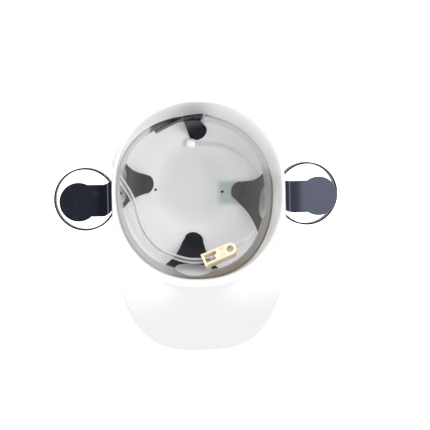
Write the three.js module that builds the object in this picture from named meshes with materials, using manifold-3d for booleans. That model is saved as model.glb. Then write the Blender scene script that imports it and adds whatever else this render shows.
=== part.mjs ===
// Drinking hat, lying on its crown as the picture shows it: millimetres, +Z up.
// Origin: the middle of the small flat on top of the crown, on which the hat rests upside down.
// +Z points out of the head opening, -Y to the peak, +X to the wearer's left when the hat is worn.
import * as THREE from 'three';
import { mergeVertices } from 'three/addons/utils/BufferGeometryUtils.js';
import Module from 'manifold-3d';

const wasm = await Module();
wasm.setup();

// Driving dimensions of the shell
const SHELL_HALF_WIDTH = 97.5;
const SHELL_HALF_LENGTH = 103.5;
const SHELL_SQUARENESS = 2.2;
const PEAK_REACH = 177.5;
const PEAK_SQUARENESS = 3;
const PEAK_RISE = 0.12;
const PEAK_ARCH = 8;
const SHELL_WALL = 2;
const DOME_TOP = 100;
const DOME_HALF_WIDTH = 94.4;
const DOME_HALF_LENGTH = 100.2;
const CROWN_FLAT_HALF_WIDTH = 17;
const CROWN_FLAT_HALF_LENGTH = 25;
const WALL_TOP = 109;
const WALL_SLOPE = 0.1;
const LIP_HEIGHT = 116;
const FILLET_REACH = 8;
const FILLET_SHARE = 0.55;
const LIP_TIP_RISE = 0.6;
const EDGE_ROUNDING = 0.7;
const FLAT_INSET = 0.6;
const SHELL_COLUMNS = 60;
const DOME_RINGS = 8;

// Driving dimensions of the can holders
const OVERALL_WIDTH = 320;
const HOLDER_LEAN = 10.5;
const CAN_RING_BORE = 67;
const CAN_RING_WALL = 1.75;
const CAN_RING_HEIGHT = 12;
const CAN_RING_LEVEL = 60;
const CAN_DISC_DIAMETER = 43.5;
const CAN_DISC_LEVEL = 117;
const CAN_DISC_THICKNESS = 2.5;
const CAN_DISC_CHAMFER = 0.8;
const HOLDER_Y = -9;
const STRAP_WIDTH = 34;
const STRAP_END_WIDTH = 32;
const STRAP_THICKNESS = 2;
const ARM_WIDTH = 35.5;
const BEND_RADIUS = 6;
const STRAP_END_X = 29;
const LEFT_HOLDER = { side: -1, strapY: -3.4, armY: -7.6, crownPegX: 43.9 };
const RIGHT_HOLDER = { side: 1, strapY: -8, armY: -9, crownPegX: 33.7 };
const SIDE_PEG_LEVEL = 60;
const PEG_DIAMETER = 2.4;
const PEG_SINK = 1.3;
const PEG_END = 0.9;
const STRAP_LIFT = 0.5;
const RING_SIDES = 42;
const DISC_SIDES = 30;
const STRAP_COLUMNS = 5;
const STRAP_STEPS = 13;
const BEND_STEPS = 5;

// Driving dimensions of the headband
const BAND_LEFT = 92;
const BAND_RIGHT = 83.3;
const BAND_FRONT = 98.4;
const BAND_REAR = 84.1;
const BAND_SQUARENESS = [2, 2.25, 2.2, 2.3];
const BAND_TOP = 112;
const BAND_FOOT = 89;
const BAND_LEAN = 6.4;
const BAND_THICKNESS = 1.5;
const TAIL_HEIGHT = 14;
const TAIL_OUTSIDE = -2.4;
const TAIL_INSIDE = 5;
const WINDOW_SIDE = 17;
const WINDOW_DEPTH = 12;
const TAB_THICKNESS = 1.2;
const TAB_TIP_RADIUS = 10.5;
const TAB_DROP = 75;
const TAB_WAIST = 0.17;
const TAB_TIP_FORESHORTENING = 0.8;
const TAB_COLUMNS = 6;
const TAB_OVERLAP = 3;

// Driving dimensions of the tube and what is on it
const TUBE_DIAMETER = 7;
const TUBE_SIDES = 10;
const TUBE_STEPS = 50;
const MOUTHPIECE_DIAMETER = 10.6;
const MOUTHPIECE_LENGTH = 10.5;
const CLAMP_LENGTH = 40;
const CLAMP_WIDTH = 14.5;
const CLAMP_HEIGHT = 12.5;
const CLAMP_WALL = 1.5;
const CLAMP_FLOOR = 1.3;
const CLAMP_LID = 2;
const CLAMP_HOLE_RADIUS = 4;
const CLAMP_RECESS = 0.8;
const CLAMP_ROLL = -25;

const GAP = 0.3;
const HALVINGS = 40;
const LEAST_LEVEL = 0.2;
const { sin, cos, tan, asin, atan2, sqrt, abs, floor, min, max, PI } = Math;
const radians = (degrees) => (degrees * PI) / 180;
const smooth = THREE.MathUtils.smoothstep;
const mix = (a, b, t) => a + (b - a) * t;
const v3 = (x, y, z) => new THREE.Vector3(x, y, z);

// Closed bodies from grids of points

// Joins equal points, drops faces that shrink to a line, and turns the body right side out.
function body(points, quads) {
  const keys = new Map();
  const unique = [];
  const number = points.map((p) => {
    const key = [p.x, p.y, p.z].map((c) => Math.round(c * 1e4)).join();
    if (!keys.has(key)) {
      keys.set(key, unique.length);
      unique.push(p);
    }
    return keys.get(key);
  });
  const faces = [];
  const add = (a, b, c) => {
    if (a !== b && b !== c && c !== a) faces.push([a, b, c]);
  };
  for (const quad of quads) {
    const [a, b, c, d] = quad.map((q) => number[q]);
    const short = unique[a].distanceTo(unique[c]) <= unique[b].distanceTo(unique[d]);
    if (short) {
      add(a, b, c);
      add(a, c, d);
    } else {
      add(a, b, d);
      add(b, c, d);
    }
  }
  let volume = 0;
  for (const [a, b, c] of faces) {
    volume += unique[a].dot(unique[b].clone().cross(unique[c]));
  }
  if (volume < 0) faces.forEach((face) => face.reverse());
  const geometry = new THREE.BufferGeometry();
  const positions = unique.flatMap((p) => [p.x, p.y, p.z]);
  geometry.setAttribute('position', new THREE.Float32BufferAttribute(positions, 3));
  geometry.setIndex(faces.flat());
  return geometry;
}

// A body of stacked rings with the same number of points, whose first and last rings have shrunk to a point.
function ringsBody(rings) {
  const count = rings[0].length;
  const quads = [];
  for (let i = 0; i + 1 < rings.length; i++) {
    for (let j = 0; j < count; j++) {
      const k = (j + 1) % count;
      quads.push([i * count + j, i * count + k, (i + 1) * count + k, (i + 1) * count + j]);
    }
  }
  return body(rings.flat(), quads);
}

// A sheet of the given thickness around a grid of points: rows of equal length.
function sheetBody(rows, thickness) {
  const last = rows.length - 1;
  const side = rows[0].length - 1;
  const normal = (i, j) => {
    const along = rows[min(i + 1, last)][j].clone().sub(rows[max(i - 1, 0)][j]);
    const across = rows[i][min(j + 1, side)].clone().sub(rows[i][max(j - 1, 0)]);
    return along.cross(across).normalize();
  };
  const shifted = (p, i, j, offset) => p.clone().addScaledVector(normal(i, j), offset);
  const face = (offset) => rows.map((row, i) => row.map((p, j) => shifted(p, i, j, offset)));
  return slabBody(face(thickness / 2), face(-thickness / 2));
}

// The body between two grids of the same size.
function slabBody(top, bottom) {
  const rows = top.length;
  const columns = top[0].length;
  const at = (layer, i, j) => (layer * rows + i) * columns + j;
  const quads = [];
  for (let i = 0; i + 1 < rows; i++) {
    for (let j = 0; j + 1 < columns; j++) {
      quads.push([at(0, i, j), at(0, i, j + 1), at(0, i + 1, j + 1), at(0, i + 1, j)]);
      quads.push([at(1, i + 1, j), at(1, i + 1, j + 1), at(1, i, j + 1), at(1, i, j)]);
    }
    for (const [j, flip] of [[0, false], [columns - 1, true]]) {
      const quad = [at(0, i, j), at(0, i + 1, j), at(1, i + 1, j), at(1, i, j)];
      quads.push(flip ? quad.reverse() : quad);
    }
  }
  for (let j = 0; j + 1 < columns; j++) {
    for (const [i, flip] of [[0, true], [rows - 1, false]]) {
      const quad = [at(0, i, j), at(0, i, j + 1), at(1, i, j + 1), at(1, i, j)];
      quads.push(flip ? quad.reverse() : quad);
    }
  }
  return body([...top.flat(), ...bottom.flat()], quads);
}

// Cuts and joins

function toSolid(geometry) {
  const bare = geometry.clone();
  bare.deleteAttribute('normal');
  bare.deleteAttribute('uv');
  const welded = mergeVertices(bare, 1e-4);
  return new wasm.Manifold(
    new wasm.Mesh({
      numProp: 3,
      vertProperties: new Float32Array(welded.attributes.position.array),
      triVerts: new Uint32Array(welded.index.array),
    }),
  );
}

function toGeometry(solid) {
  const mesh = solid.getMesh();
  const geometry = new THREE.BufferGeometry();
  geometry.setAttribute('position', new THREE.Float32BufferAttribute(mesh.vertProperties, mesh.numProp));
  geometry.setIndex([...mesh.triVerts]);
  return geometry;
}

const joined = (geometries) => geometries.map(toSolid).reduce((a, b) => a.add(b));
const without = (solid, geometries) => geometries.map(toSolid).reduce((a, b) => a.subtract(b), solid);

// A round bar between two points.
function bar(from, to, radius, sides = 12) {
  const geometry = new THREE.CylinderGeometry(radius, radius, from.distanceTo(to), sides);
  const turn = new THREE.Quaternion().setFromUnitVectors(v3(0, 1, 0), to.clone().sub(from).normalize());
  const middle = from.clone().add(to).multiplyScalar(0.5);
  return geometry.applyQuaternion(turn).translate(middle.x, middle.y, middle.z);
}

// The shell's outer surface

// Half axes of the crown at a height: an arc in each direction, cut off by the flat, and then a steep wall.
const DOME_DEPTH_X = DOME_TOP / sqrt(1 - (CROWN_FLAT_HALF_WIDTH / DOME_HALF_WIDTH) ** 2);
const DOME_DEPTH_Y = DOME_TOP / sqrt(1 - (CROWN_FLAT_HALF_LENGTH / DOME_HALF_LENGTH) ** 2);

function halfAxes(z) {
  const level = min(z, DOME_TOP);
  const steep = max(z - DOME_TOP, 0) * WALL_SLOPE;
  return {
    a: DOME_HALF_WIDTH * sqrt(1 - ((DOME_TOP - level) / DOME_DEPTH_X) ** 2) + steep,
    b: DOME_HALF_LENGTH * sqrt(1 - ((DOME_TOP - level) / DOME_DEPTH_Y) ** 2) + steep,
  };
}

// How far an oval reaches in a direction: an ellipse at a squareness of 2, and squarer above that.
function ovalRadius(a, b, angle, squareness = SHELL_SQUARENESS) {
  const sum = (abs(cos(angle)) / a) ** squareness + (abs(sin(angle)) / b) ** squareness;
  return sum ** (-1 / squareness);
}

// 1 for a point on the shell's oval, and less inside it.
const ovalShare = (x, y, { a, b }) => (abs(x) / a) ** SHELL_SQUARENESS + (abs(y) / b) ** SHELL_SQUARENESS;

function domeNormal(point) {
  const step = 0.01;
  const { a, b } = halfAxes(point.z);
  const below = halfAxes(point.z - step);
  const change = { a: (a - below.a) / step, b: (b - below.b) / step };
  const across = (abs(point.x) / a) ** SHELL_SQUARENESS;
  const along = (abs(point.y) / b) ** SHELL_SQUARENESS;
  const upwards = -((across * change.a) / a + (along * change.b) / b);
  return v3(point.x ? across / point.x : 0, point.y ? along / point.y : 0, upwards).normalize();
}

function domePoint(angle, z) {
  const { a, b } = halfAxes(z);
  const radius = ovalRadius(a, b, angle);
  return v3(radius * cos(angle), radius * sin(angle), z);
}

// How far out the shell's edge lies at a place along its length.
function edgeX(y) {
  const length = y > 0 ? SHELL_HALF_LENGTH : PEAK_REACH;
  const squareness = y > 0 ? SHELL_SQUARENESS : PEAK_SQUARENESS;
  return SHELL_HALF_WIDTH * (1 - abs(y / length) ** squareness) ** (1 / squareness);
}

// The height of the outer surface at a distance from the middle, and the angle under which a height is met.
const levelAt = (x) => DOME_TOP - DOME_DEPTH_X * sqrt(1 - (x / DOME_HALF_WIDTH) ** 2);
const angleDownTo = (z) => atan2(DOME_TOP - z, halfAxes(z).a);

// The point where a line from the middle of the dome's mouth, turned down by an angle, meets the outer surface.
function domeHit(side, y, down) {
  let near = 0;
  let far = 2 * DOME_TOP;
  for (let step = 0; step < HALVINGS; step++) {
    const reach = (near + far) / 2;
    const z = DOME_TOP - reach * sin(down);
    const inside = z > 0 && ovalShare(reach * cos(down), y, halfAxes(z)) < 1;
    if (inside) near = reach;
    else far = reach;
  }
  return v3(side * near * cos(down), y, DOME_TOP - near * sin(down));
}

// The height of the inner surface above a point of the plan, and how level it is there.
function floorAt(x, y) {
  let low = 0;
  let high = DOME_TOP;
  for (let step = 0; step < HALVINGS; step++) {
    const z = (low + high) / 2;
    if (ovalShare(x, y, halfAxes(z)) > 1) low = z;
    else high = z;
  }
  const level = max(-domeNormal(v3(x, y, max(low, 0.1))).z, LEAST_LEVEL);
  return { z: low + SHELL_WALL / level, level };
}

// Shell: crown, wall, lip and peak are one moulding

function shellBody() {
  const angles = [...Array(SHELL_COLUMNS).keys()].map((k) => (2 * PI * k) / SHELL_COLUMNS);
  const outer = [angles.map(() => v3(0, 0, 0))];
  const inner = [angles.map(() => v3(0, 0, SHELL_WALL))];
  outer.push(angles.map((angle) => domePoint(angle, 0)));
  const flat = { a: CROWN_FLAT_HALF_WIDTH - FLAT_INSET, b: CROWN_FLAT_HALF_LENGTH - FLAT_INSET };
  inner.push(
    angles.map((angle) => {
      const radius = ovalRadius(flat.a, flat.b, angle);
      return v3(radius * cos(angle), radius * sin(angle), SHELL_WALL);
    }),
  );
  const start = asin(CROWN_FLAT_HALF_WIDTH / DOME_HALF_WIDTH);
  for (let ring = 1; ring <= DOME_RINGS; ring++) {
    const z = DOME_TOP - DOME_DEPTH_X * cos(mix(start, PI / 2, ring / DOME_RINGS));
    const row = angles.map((angle) => domePoint(angle, z));
    outer.push(row);
    inner.push(row.map((p) => p.clone().addScaledVector(domeNormal(p), -SHELL_WALL)));
  }
  const rims = angles.map(rimSection);
  for (let k = 0; k < rims[0].length; k++) {
    outer.push(rims.map((rim) => rim[k].outer));
    inner.push(rims.map((rim) => rim[k].inner));
  }
  const edge = rims.map((rim) => rim.at(-1).edge);
  return ringsBody([...outer, edge, ...inner.reverse()]);
}

// The section of the lip in one direction, which reaches out into the peak at the front.
function rimSection(angle) {
  const wall = halfAxes(WALL_TOP);
  const foot = ovalRadius(wall.a, wall.b, angle);
  const lip = ovalRadius(SHELL_HALF_WIDTH, SHELL_HALF_LENGTH, angle);
  const across = abs(cos(angle)) / SHELL_HALF_WIDTH;
  const forward = abs(sin(angle)) / PEAK_REACH;
  const peak = (across ** PEAK_SQUARENESS + forward ** PEAK_SQUARENESS) ** (-1 / PEAK_SQUARENESS);
  const edge = sin(angle) < 0 ? max(lip, peak) : lip;
  const reach = edge - foot;
  const extra = edge - lip;
  const fillet = min(FILLET_REACH, FILLET_SHARE * reach);
  const archBlend = 20;
  const arch = PEAK_ARCH * ((edge * cos(angle)) / SHELL_HALF_WIDTH) ** 2 * min(extra / archBlend, 1);
  const curve = new THREE.QuadraticBezierCurve(
    new THREE.Vector2(foot, WALL_TOP),
    new THREE.Vector2(foot + GAP, LIP_HEIGHT - 0.5),
    new THREE.Vector2(foot + fillet, LIP_HEIGHT),
  );
  const corner = new THREE.Vector2(foot + fillet, LIP_HEIGHT);
  const tip = new THREE.Vector2(edge, LIP_HEIGHT + LIP_TIP_RISE + extra * PEAK_RISE + arch);
  const path = [0, 0.4, 0.75, 1].map((t) => curve.getPoint(t));
  for (const t of [0.35, 0.7, 1]) path.push(corner.clone().lerp(tip, t));
  const place = (radius, z) => v3(radius * cos(angle), radius * sin(angle), z);
  return path.map((p, k) => {
    const before = path[max(k - 1, 0)];
    const after = path[min(k + 1, path.length - 1)];
    const along = k === 0 ? new THREE.Vector2(WALL_SLOPE, 1) : after.clone().sub(before);
    along.normalize();
    const side = new THREE.Vector2(-along.y, along.x).multiplyScalar(SHELL_WALL);
    const edgeMiddle = p.clone().addScaledVector(side, 0.5).addScaledVector(along, EDGE_ROUNDING);
    return {
      outer: place(p.x, p.y),
      inner: place(p.x + side.x, p.y + side.y),
      edge: place(edgeMiddle.x, edgeMiddle.y),
    };
  });
}

// Tube: one hose, from its bare end outside the left wall, round the inside to the mouthpiece

const TUBE_ROUTE = [
  [-75.6, 65.4, 70],
  [-84.6, 52.8, 71],
  [-90, 41.8, 72],
  [-92.4, 31.6, 73.5],
  [-89, 21, 75.5],
  [-83, 9.5, 77],
  [-76, -2, 76],
  [-70.8, -14, 71.5],
  [-65.2, -36, 66],
  [-56, -54, 67.5],
  [-44, -66.8, 73],
  [-27.5, -75, 82],
  [-9, -79.8, 89],
  [7.5, -79.2, 92.5],
  [24, -74.6, 93],
  [39.5, -67.4, 92.5],
  [53, -58.8, 87.8],
  [64.5, -48, 73.5],
  [72.4, -33.5, 64],
  [76.4, -17, 60],
  [74.8, 0, 54.5],
  [69.9, 15.5, 46.4],
  [62.1, 26.5, 39.8],
  [52.5, 36, 35.2],
  [40.5, 43, 30.4],
  [27, 46.9, 26],
  [13, 47.7, 22.4],
  [3.2, 48.3, 20.8],
];
const tubePath = new THREE.CatmullRomCurve3(TUBE_ROUTE.map(([x, y, z]) => v3(x, y, z)), false, 'centripetal');

function tubeBody() {
  const section = new THREE.Shape();
  for (let k = 0; k < TUBE_SIDES; k++) {
    const angle = (2 * PI * k) / TUBE_SIDES;
    const spot = [(TUBE_DIAMETER / 2) * cos(angle), (TUBE_DIAMETER / 2) * sin(angle)];
    if (k) section.lineTo(...spot);
    else section.moveTo(...spot);
  }
  section.closePath();
  const options = { extrudePath: tubePath, steps: TUBE_STEPS, curveSegments: 1, bevelEnabled: false };
  return new THREE.ExtrudeGeometry(section, options);
}

// Mouthpiece: a short round-ended sleeve that continues the tube

function mouthpieceBody() {
  const radius = MOUTHPIECE_DIAMETER / 2;
  const profile = [
    [0, 0],
    [TUBE_DIAMETER / 2 + 0.4, 0],
    [radius - 0.3, 0.8],
    [radius, 2],
    [radius, MOUTHPIECE_LENGTH - 3.5],
    [radius * 0.86, MOUTHPIECE_LENGTH - 1.2],
    [radius * 0.5, MOUTHPIECE_LENGTH - 0.2],
    [0, MOUTHPIECE_LENGTH],
  ];
  const geometry = new THREE.LatheGeometry(profile.map(([x, y]) => new THREE.Vector2(x, y)), 16);
  const end = tubePath.getPoint(1);
  const heading = tubePath.getTangent(1);
  const turn = new THREE.Quaternion().setFromUnitVectors(v3(0, 1, 0), heading);
  const seat = end.clone().addScaledVector(heading, GAP);
  return geometry.applyQuaternion(turn).translate(seat.x, seat.y, seat.z);
}

// Tube clamp: a frame with one round end, a windowed lid over the tube and an opening for the tube at each end

const CLAMP_DISTANCE = 228;
const CLAMP_HALF_SPAN = 12.8;
const CLAMP_TWIST = 0.9;
const CLAMP_FLAP = { thick: 3.4, tall: 4.5, low: 1.6, out: 1.1 };

// The cell at the flat end goes right through, like the round hole; the two beside the ribs are shallow.
const CLAMP_CELL = [[-17.5, -5], [-17.5, 5], [-3.5, 5], [-3.5, 1.5], [-6, 0], [-6, -5]];
const CLAMP_SHALLOW_CELLS = [
  [[1.5, 5], [6.5, 5], [4, 1.6]],
  [[-1.5, -5], [6.5, -5], [2.5, -0.6]],
];

function clampBody() {
  const half = CLAMP_WIDTH / 2;
  const flatEnd = -CLAMP_LENGTH / 2;
  const roundCentre = CLAMP_LENGTH / 2 - half;
  const outline = (inset) => {
    const shape = new THREE.Shape();
    shape.moveTo(flatEnd + inset, half - inset);
    shape.lineTo(flatEnd + inset, -half + inset);
    shape.lineTo(roundCentre, -half + inset);
    shape.absarc(roundCentre, 0, half - inset, -PI / 2, PI / 2, false);
    shape.closePath();
    return shape;
  };
  const plate = (shape, from, to) => {
    const options = { depth: to - from, curveSegments: 10, bevelEnabled: false };
    return new THREE.ExtrudeGeometry(shape, options).translate(0, 0, from);
  };
  const polygon = (points) => new THREE.Shape(points.map(([x, y]) => new THREE.Vector2(x, y)));
  const top = CLAMP_HEIGHT / 2;
  const hole = new THREE.Shape();
  hole.absarc(roundCentre, 0, CLAMP_HOLE_RADIUS, 0, 2 * PI, false);
  const through = [hole, polygon(CLAMP_CELL)].map((shape) => plate(shape, -top - 1, top + 1));
  const shallow = CLAMP_SHALLOW_CELLS.map(polygon).map((shape) => plate(shape, top - CLAMP_RECESS, top + 1));
  const chamber = plate(outline(CLAMP_WALL), -top + CLAMP_FLOOR, top - CLAMP_LID);
  const slotWidth = CLAMP_WIDTH - 2 * CLAMP_WALL;
  const slotHeight = TUBE_DIAMETER + 6 * GAP;
  const slot = new THREE.BoxGeometry(2 * CLAMP_LENGTH, slotWidth, slotHeight).translate(0, 0, -GAP);
  const { thick, tall, low, out } = CLAMP_FLAP;
  const flap = new THREE.BoxGeometry(thick, CLAMP_WIDTH + 1, tall).translate(flatEnd + out, -0.5, top - low);
  const frame = joined([plate(outline(0), -top, top), flap]);
  const along = (distance) => tubePath.getPointAt(distance / tubePath.getLength());
  const [back, front] = [-1, 1].map((end) => along(CLAMP_DISTANCE + end * CLAMP_HALF_SPAN));
  const centre = back.clone().add(front).multiplyScalar(0.5);
  const chord = atan2(front.y - back.y, front.x - back.x);
  const turn = new THREE.Matrix4().makeRotationZ(chord + radians(CLAMP_TWIST));
  const roll = new THREE.Matrix4().makeRotationX(radians(CLAMP_ROLL));
  const clamp = toGeometry(without(frame, [chamber, slot, ...through, ...shallow]));
  return clamp.applyMatrix4(turn.multiply(roll)).translate(centre.x, centre.y, centre.z);
}

// Headband: a strip with four hanging tabs, closed at the back by a tail through a window

// A point of the strip's middle surface: its direction, its height and how far it lies inside the others.
// The strip follows an oval whose quarters, from the rear right one on, differ in reach and squareness.
function bandPoint(angle, z, inward = 0) {
  const lean = BAND_LEAN * ((BAND_TOP - z) / (BAND_TOP - BAND_FOOT)) + inward;
  const across = cos(angle) < 0 ? BAND_LEFT : BAND_RIGHT;
  const along = sin(angle) < 0 ? BAND_FRONT : BAND_REAR;
  const quarter = THREE.MathUtils.euclideanModulo(floor(angle / (PI / 2)), 4);
  const radius = ovalRadius(across - lean, along - lean, angle, BAND_SQUARENESS[quarter]);
  return v3(radius * cos(angle), radius * sin(angle), z);
}

// The strip goes once round and overlaps itself at the back, where its first end lies outside the last.
const STRIP_START = radians(81.5);
const STRIP_END = radians(443.7);
const STRIP_EASE = radians(20);
const STRIP_STEPS = 56;
const BAND_MIDDLE = (BAND_TOP + BAND_FOOT) / 2;

function stripRows() {
  const rows = [];
  for (let k = 0; k <= STRIP_STEPS; k++) {
    const angle = mix(STRIP_START, STRIP_END, k / STRIP_STEPS);
    const outside = TAIL_OUTSIDE * max(0, 1 - (angle - STRIP_START) / STRIP_EASE);
    rows.push([BAND_TOP, BAND_MIDDLE, BAND_FOOT].map((z) => bandPoint(angle, z, outside)));
  }
  return rows;
}

// The tabs: the directions of their two sides, their slot and the place of the middle of their tip.

const TABS = [
  { from: -36.6, to: 12.8, slot: { angle: -12.4, length: 36, foot: 72, top: 101 }, tip: { x: 51.3, y: -6.5 } },
  { from: -114.8, to: -76, slot: { angle: -93.8, length: 42, foot: 70, top: 105 }, tip: { x: -1.3, y: -61 } },
  { from: 158, to: 193, slot: { angle: 175.7, length: 38, foot: 70, top: 101 }, tip: { x: -53.8, y: 3.6 } },
  { from: 85.8, to: 99.7, slot: null, tip: { x: 5.8, y: 61.3 } },
];

// One row across a tab: how far down the tab it is, how far past the middle of the tip and how wide there.
function tabRow(tab, fraction, past = 0, width = TAB_TIP_RADIUS, above = 0) {
  const [from, to] = [tab.from, tab.to].map(radians);
  const level = BAND_FOOT + above;
  const middle = bandPoint((from + to) / 2, BAND_FOOT);
  const root = bandPoint((from + to) / 2, level);
  const heading = new THREE.Vector2(tab.tip.x - middle.x, tab.tip.y - middle.y).normalize();
  const waist = tab.slot === null ? 0 : TAB_WAIST * sin(PI * fraction);
  const points = [];
  for (let k = 0; k <= TAB_COLUMNS; k++) {
    const share = k / TAB_COLUMNS;
    const base = bandPoint(mix(from, to, share), level);
    const offset = (2 * share - 1) * width;
    const tip = {
      x: tab.tip.x + heading.x * past + heading.y * offset,
      y: tab.tip.y + heading.y * past - heading.x * offset,
    };
    const x = mix(mix(base.x, tip.x, fraction), mix(root.x, tab.tip.x, fraction), waist);
    const y = mix(mix(base.y, tip.y, fraction), mix(root.y, tab.tip.y, fraction), waist);
    const floor = floorAt(x, y);
    const clear = (TAB_THICKNESS / 2 + 2.5 * GAP) / floor.level;
    points.push(v3(x, y, max(level - TAB_DROP * fraction, floor.z + clear)));
  }
  return points;
}

// The tab hangs from the strip's foot, comes to lie on the inside of the crown and ends round.
function tabRows(tab) {
  const rows = [tabRow(tab, 0, 0, TAB_TIP_RADIUS, TAB_OVERLAP)];
  for (const fraction of [0, 0.2, 0.4, 0.6, 0.8, 0.92, 1]) rows.push(tabRow(tab, fraction));
  for (const share of [0.5, 0.85, 0.98]) {
    const past = TAB_TIP_RADIUS * share * TAB_TIP_FORESHORTENING;
    rows.push(tabRow(tab, 1, past, TAB_TIP_RADIUS * sqrt(1 - share ** 2)));
  }
  return rows;
}

// A lens-shaped bar through the foot of the strip, which leaves the slot at the root of a tab.
function slotCutter(tab) {
  const { length, foot: low, top } = tab.slot;
  const angle = radians(tab.slot.angle);
  const shape = new THREE.Shape();
  shape.absellipse(0, 0, length / 2, (top - low) / 2, 0, 2 * PI, false, 0);
  const reach = { inward: 35, outward: 15 };
  const depth = reach.inward + reach.outward;
  const cutter = new THREE.ExtrudeGeometry(shape, { depth, curveSegments: 9, bevelEnabled: false });
  const foot = bandPoint(angle, BAND_FOOT);
  const outward = v3(cos(angle), sin(angle), 0);
  const basis = new THREE.Matrix4().makeBasis(v3(0, 0, 1).cross(outward), v3(0, 0, 1), outward);
  cutter.applyMatrix4(basis);
  const start = foot.clone().addScaledVector(outward, -reach.inward);
  return cutter.translate(start.x, start.y, (top + low) / 2);
}

// The tail runs on from the strip's first end, passes inwards through the window and ends free.
const TAIL_START = radians(77.2);
const TAIL_CROSSING = radians(93.3);
const TAIL_END = radians(125);
const TAIL_STEPS = 12;

function tailRows() {
  const rows = [];
  for (let k = 0; k <= TAIL_STEPS; k++) {
    const angle = mix(TAIL_START, TAIL_END, k / TAIL_STEPS);
    const inward = mix(TAIL_OUTSIDE, TAIL_INSIDE, smooth(angle, TAIL_CROSSING - radians(8), TAIL_END));
    const heights = [BAND_MIDDLE + TAIL_HEIGHT / 2, BAND_MIDDLE - TAIL_HEIGHT / 2];
    rows.push(heights.map((z) => bandPoint(angle, z, inward)));
  }
  return rows;
}

function headbandBody() {
  const tabs = TABS.map((tab) => sheetBody(tabRows(tab), TAB_THICKNESS));
  const strip = sheetBody(stripRows(), BAND_THICKNESS);
  const slots = TABS.filter((tab) => tab.slot !== null).map(slotCutter);
  const crossing = bandPoint(TAIL_CROSSING + radians(4), BAND_MIDDLE);
  const window = new THREE.BoxGeometry(WINDOW_SIDE, WINDOW_DEPTH, WINDOW_SIDE);
  window.translate(crossing.x, crossing.y, crossing.z);
  const cut = without(joined([strip, ...tabs]), [...slots, window]);
  return toGeometry(cut.add(toSolid(sheetBody(tailRows(), TAB_THICKNESS))));
}

// Can holder: strap, arm, disc and ring are one moulding

const LEAN = radians(HOLDER_LEAN);
const RING_RADIUS = CAN_RING_BORE / 2 + CAN_RING_WALL;
const RING_X = OVERALL_WIDTH / 2 - RING_RADIUS * cos(LEAN) - (CAN_RING_HEIGHT / 2) * sin(LEAN);
const DISC_X = RING_X + (CAN_DISC_LEVEL - CAN_RING_LEVEL) * tan(LEAN);

// The strap's middle surface: along the dome's outside, out past the lip, over the bend and along the arm.
// The arm may lie a little further to the front than the strap, so the bend is slightly askew.
function strapRows({ side, strapY, armY }) {
  const lift = STRAP_LIFT + STRAP_THICKNESS / 2;
  const endDown = angleDownTo(levelAt(STRAP_END_X));
  const rows = [];
  const offsets = (width) => [...Array(STRAP_COLUMNS + 1).keys()].map((k) => (k / STRAP_COLUMNS - 0.5) * width);
  for (let k = 0; k <= STRAP_STEPS; k++) {
    const down = mix(endDown, 0, k / STRAP_STEPS);
    const width = mix(STRAP_END_WIDTH, STRAP_WIDTH, min(1, (2 * k) / STRAP_STEPS));
    rows.push(
      offsets(width).map((offset) => {
        const p = domeHit(side, strapY + offset, down);
        return p.addScaledVector(domeNormal(p), lift);
      }),
    );
  }
  const half = CAN_DISC_THICKNESS / 2;
  const arm = { x: DISC_X - half * sin(LEAN), z: CAN_DISC_LEVEL - half * cos(LEAN) };
  const wallX = DOME_HALF_WIDTH + lift;
  const lipX = edgeX(HOLDER_Y) + lift + GAP;
  const climb = atan2(lipX - wallX, LIP_HEIGHT - DOME_TOP);
  const lipZ = arm.z + (DISC_X - lipX) * tan(LEAN) - BEND_RADIUS * 0.95;
  const bend = [{ x: mix(wallX, lipX, 0.45), z: mix(DOME_TOP, lipZ, 0.5), width: STRAP_WIDTH, turned: 0 }];
  const centre = { x: lipX + BEND_RADIUS * cos(climb), z: lipZ - BEND_RADIUS * sin(climb) };
  const turn = PI / 2 + LEAN - climb;
  for (let k = 0; k <= BEND_STEPS; k++) {
    const angle = PI - climb - (turn * k) / BEND_STEPS;
    bend.push({
      x: centre.x + BEND_RADIUS * cos(angle),
      z: centre.z + BEND_RADIUS * sin(angle),
      width: mix(STRAP_WIDTH, ARM_WIDTH, k / BEND_STEPS),
      turned: k / BEND_STEPS,
    });
  }
  const last = bend.at(-1);
  for (const t of [0.5, 1]) {
    bend.push({ x: mix(last.x, arm.x, t), z: mix(last.z, arm.z, t), width: ARM_WIDTH, turned: 1 });
  }
  // The strap's edges follow the curve of the lip, which is further in towards the front and the rear.
  for (const { x, z, width, turned } of bend) {
    const middle = mix(strapY, armY, turned);
    rows.push(
      offsets(width).map((offset) => {
        const sag = (edgeX(middle + offset) - edgeX(HOLDER_Y)) * (1 - turned);
        return v3(side * (x + sag), middle + offset, z);
      }),
    );
  }
  return rows;
}

// The pegs go through the wall near the crown and behind the headband.
function pegEnds({ side, strapY, crownPegX }) {
  const crownPeg = domeHit(side, strapY, angleDownTo(levelAt(crownPegX)));
  const sidePeg = domeHit(side, strapY, angleDownTo(SIDE_PEG_LEVEL));
  return [crownPeg, sidePeg].map(pegLine);
}

function pegLine(p) {
  const normal = domeNormal(p);
  const at = (distance) => p.clone().addScaledVector(normal, distance);
  return { outside: at(PEG_SINK), inside: at(-SHELL_WALL - PEG_END), beyond: at(2 * SHELL_WALL) };
}

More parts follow.
